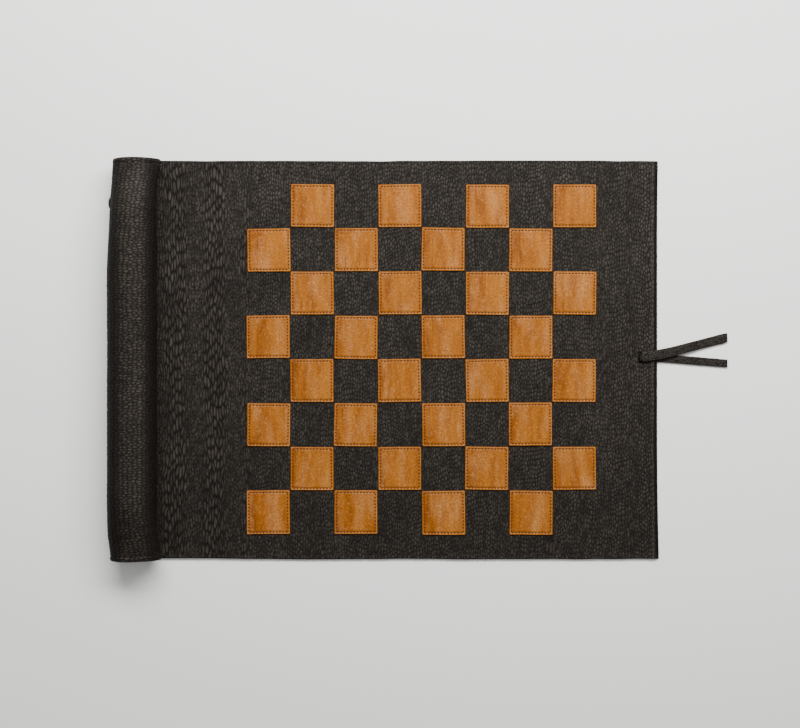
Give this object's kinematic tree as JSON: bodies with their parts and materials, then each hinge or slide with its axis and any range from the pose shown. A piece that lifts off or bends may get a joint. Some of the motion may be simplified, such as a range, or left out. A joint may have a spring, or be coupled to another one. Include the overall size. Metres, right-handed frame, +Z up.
{
  "type": "roll-up draughts mat",
  "caption": "Roll-up leather draughts mat with a zipped round pouch for the men along one edge and a leather thong tie at the other.",
  "frame": {"origin": "on the table below the middle of the open mat and its pouch, the thong's free ends left out", "axes": "+X from the pouch across the playing squares to the tie, +Y along the pouch towards the closed zip's slider, +Z up off the table"},
  "size_m": [0.5384, 0.345, 0.042],
  "materials": {
    "black_leather": "pebbled, satin",
    "tan_leather": "smooth, satin",
    "thong_leather": "pebbled, satin",
    "zip_tape": "woven",
    "zip_rows": "satin",
    "zip_metal": "satin black",
    "men_light": "satin",
    "men_dark": "satin"
  },
  "bodies": {
    "pouch": {"pouch_base": "black_leather", "pouch_cover": "black_leather", "end_gussets": "black_leather", "zip_tapes": "zip_tape", "zip_rows": "zip_rows", "zip_stops": "zip_metal"},
    "men_light_roll": {"men_light": "men_light"},
    "men_dark_roll": {"men_dark": "men_dark"},
    "zip_slider": {"zip_slider": "zip_metal"},
    "zip_pull": {"zip_pull": "zip_metal"},
    "strip_01": {"mat_01": "black_leather"},
    "strip_02": {"mat_02": "black_leather"},
    "strip_03": {"mat_03": "black_leather"},
    "strip_04": {"mat_04": "black_leather"},
    "strip_05": {"mat_05": "black_leather", "light_square_1a": "tan_leather"},
    "strip_06": {"mat_06": "black_leather", "light_square_1b": "tan_leather"},
    "strip_07": {"mat_07": "black_leather", "light_square_2a": "tan_leather"},
    "strip_08": {"mat_08": "black_leather", "light_square_2b": "tan_leather"},
    "strip_09": {"mat_09": "black_leather", "light_square_3a": "tan_leather"},
    "strip_10": {"mat_10": "black_leather", "light_square_3b": "tan_leather"},
    "strip_11": {"mat_11": "black_leather", "light_square_4a": "tan_leather"},
    "strip_12": {"mat_12": "black_leather", "light_square_4b": "tan_leather"},
    "strip_13": {"mat_13": "black_leather", "light_square_5a": "tan_leather"},
    "strip_14": {"mat_14": "black_leather", "light_square_5b": "tan_leather"},
    "strip_15": {"mat_15": "black_leather", "light_square_6a": "tan_leather"},
    "strip_16": {"mat_16": "black_leather", "light_square_6b": "tan_leather"},
    "strip_17": {"mat_17": "black_leather", "light_square_7a": "tan_leather"},
    "strip_18": {"mat_18": "black_leather", "light_square_7b": "tan_leather"},
    "strip_19": {"mat_19": "black_leather", "light_square_8a": "tan_leather"},
    "strip_20": {"mat_20": "black_leather", "light_square_8b": "tan_leather"},
    "strip_21": {"mat_21": "black_leather"},
    "strip_22": {"mat_22": "black_leather"},
    "strip_23": {"mat_23": "black_leather", "thong_fold": "thong_leather", "thong_upper": "thong_leather", "thong_lower": "thong_leather"}
  },
  "joints": [
    {"name": "bend_01", "type": "hinge", "parent": "pouch", "child": "strip_01", "pos_m": [-0.19327, 0, 0.0038], "axis": [0, -1, 0], "range_deg": [0, 64]},
    {"name": "bend_02", "type": "hinge", "parent": "strip_01", "child": "strip_02", "pos_m": [-0.17464, 0, 0.0038], "axis": [0, -1, 0], "range_deg": [0, 52.02]},
    {"name": "bend_03", "type": "hinge", "parent": "strip_02", "child": "strip_03", "pos_m": [-0.15602, 0, 0.0038], "axis": [0, -1, 0], "range_deg": [0, 40.68]},
    {"name": "bend_04", "type": "hinge", "parent": "strip_03", "child": "strip_04", "pos_m": [-0.13739, 0, 0.0038], "axis": [0, -1, 0], "range_deg": [0, 35.04]},
    {"name": "bend_05", "type": "hinge", "parent": "strip_04", "child": "strip_05", "pos_m": [-0.11877, 0, 0.0038], "axis": [0, -1, 0], "range_deg": [0, 37.1]},
    {"name": "bend_06", "type": "hinge", "parent": "strip_05", "child": "strip_06", "pos_m": [-0.09977, 0, 0.0038], "axis": [0, -1, 0], "range_deg": [0, 44.39]},
    {"name": "bend_07", "type": "hinge", "parent": "strip_06", "child": "strip_07", "pos_m": [-0.08077, 0, 0.0038], "axis": [0, -1, 0], "range_deg": [0, 44.96]},
    {"name": "bend_08", "type": "hinge", "parent": "strip_07", "child": "strip_08", "pos_m": [-0.06177, 0, 0.0038], "axis": [0, -1, 0], "range_deg": [0, 35.6]},
    {"name": "bend_09", "type": "hinge", "parent": "strip_08", "child": "strip_09", "pos_m": [-0.04277, 0, 0.0038], "axis": [0, -1, 0], "range_deg": [0, 30.36]},
    {"name": "bend_10", "type": "hinge", "parent": "strip_09", "child": "strip_10", "pos_m": [-0.02377, 0, 0.0038], "axis": [0, -1, 0], "range_deg": [0, 34.39]},
    {"name": "bend_11", "type": "hinge", "parent": "strip_10", "child": "strip_11", "pos_m": [-0.00477, 0, 0.0038], "axis": [0, -1, 0], "range_deg": [0, 42.36]},
    {"name": "bend_12", "type": "hinge", "parent": "strip_11", "child": "strip_12", "pos_m": [0.01423, 0, 0.0038], "axis": [0, -1, 0], "range_deg": [0, 38.63]},
    {"name": "bend_13", "type": "hinge", "parent": "strip_12", "child": "strip_13", "pos_m": [0.03323, 0, 0.0038], "axis": [0, -1, 0], "range_deg": [0, 32.17]},
    {"name": "bend_14", "type": "hinge", "parent": "strip_13", "child": "strip_14", "pos_m": [0.05223, 0, 0.0038], "axis": [0, -1, 0], "range_deg": [0, 29.78]},
    {"name": "bend_15", "type": "hinge", "parent": "strip_14", "child": "strip_15", "pos_m": [0.07123, 0, 0.0038], "axis": [0, -1, 0], "range_deg": [0, 31.53]},
    {"name": "bend_16", "type": "hinge", "parent": "strip_15", "child": "strip_16", "pos_m": [0.09023, 0, 0.0038], "axis": [0, -1, 0], "range_deg": [0, 33.98]},
    {"name": "bend_17", "type": "hinge", "parent": "strip_16", "child": "strip_17", "pos_m": [0.10923, 0, 0.0038], "axis": [0, -1, 0], "range_deg": [0, 35.88]},
    {"name": "bend_18", "type": "hinge", "parent": "strip_17", "child": "strip_18", "pos_m": [0.12823, 0, 0.0038], "axis": [0, -1, 0], "range_deg": [0, 33.4]},
    {"name": "bend_19", "type": "hinge", "parent": "strip_18", "child": "strip_19", "pos_m": [0.14723, 0, 0.0038], "axis": [0, -1, 0], "range_deg": [0, 29.65]},
    {"name": "bend_20", "type": "hinge", "parent": "strip_19", "child": "strip_20", "pos_m": [0.16623, 0, 0.0038], "axis": [0, -1, 0], "range_deg": [0, 28.6]},
    {"name": "bend_21", "type": "hinge", "parent": "strip_20", "child": "strip_21", "pos_m": [0.18523, 0, 0.0038], "axis": [0, -1, 0], "range_deg": [0, 27.7]},
    {"name": "bend_22", "type": "hinge", "parent": "strip_21", "child": "strip_22", "pos_m": [0.20223, 0, 0.0038], "axis": [0, -1, 0], "range_deg": [0, 23.5]},
    {"name": "bend_23", "type": "hinge", "parent": "strip_22", "child": "strip_23", "pos_m": [0.21923, 0, 0.0038], "axis": [0, -1, 0], "range_deg": [0, 21.35]},
    {"name": "zip_run", "type": "slide", "parent": "pouch", "child": "zip_slider", "axis": [0, 1, 0], "range_m": [-0.284, 0]},
    {"name": "pull_swing", "type": "hinge", "parent": "zip_slider", "child": "zip_pull", "pos_m": [-0.23738, 0.134, 0.01909], "axis": [0, -1, 0], "range_deg": [-115, 0]},
    {"name": "men_light_slide", "type": "slide", "parent": "pouch", "child": "men_light_roll", "axis": [0, 1, 0], "range_m": [-0.025, 0]},
    {"name": "men_dark_slide", "type": "slide", "parent": "pouch", "child": "men_dark_roll", "axis": [0, 1, 0], "range_m": [0, 0.025]}
  ]
}
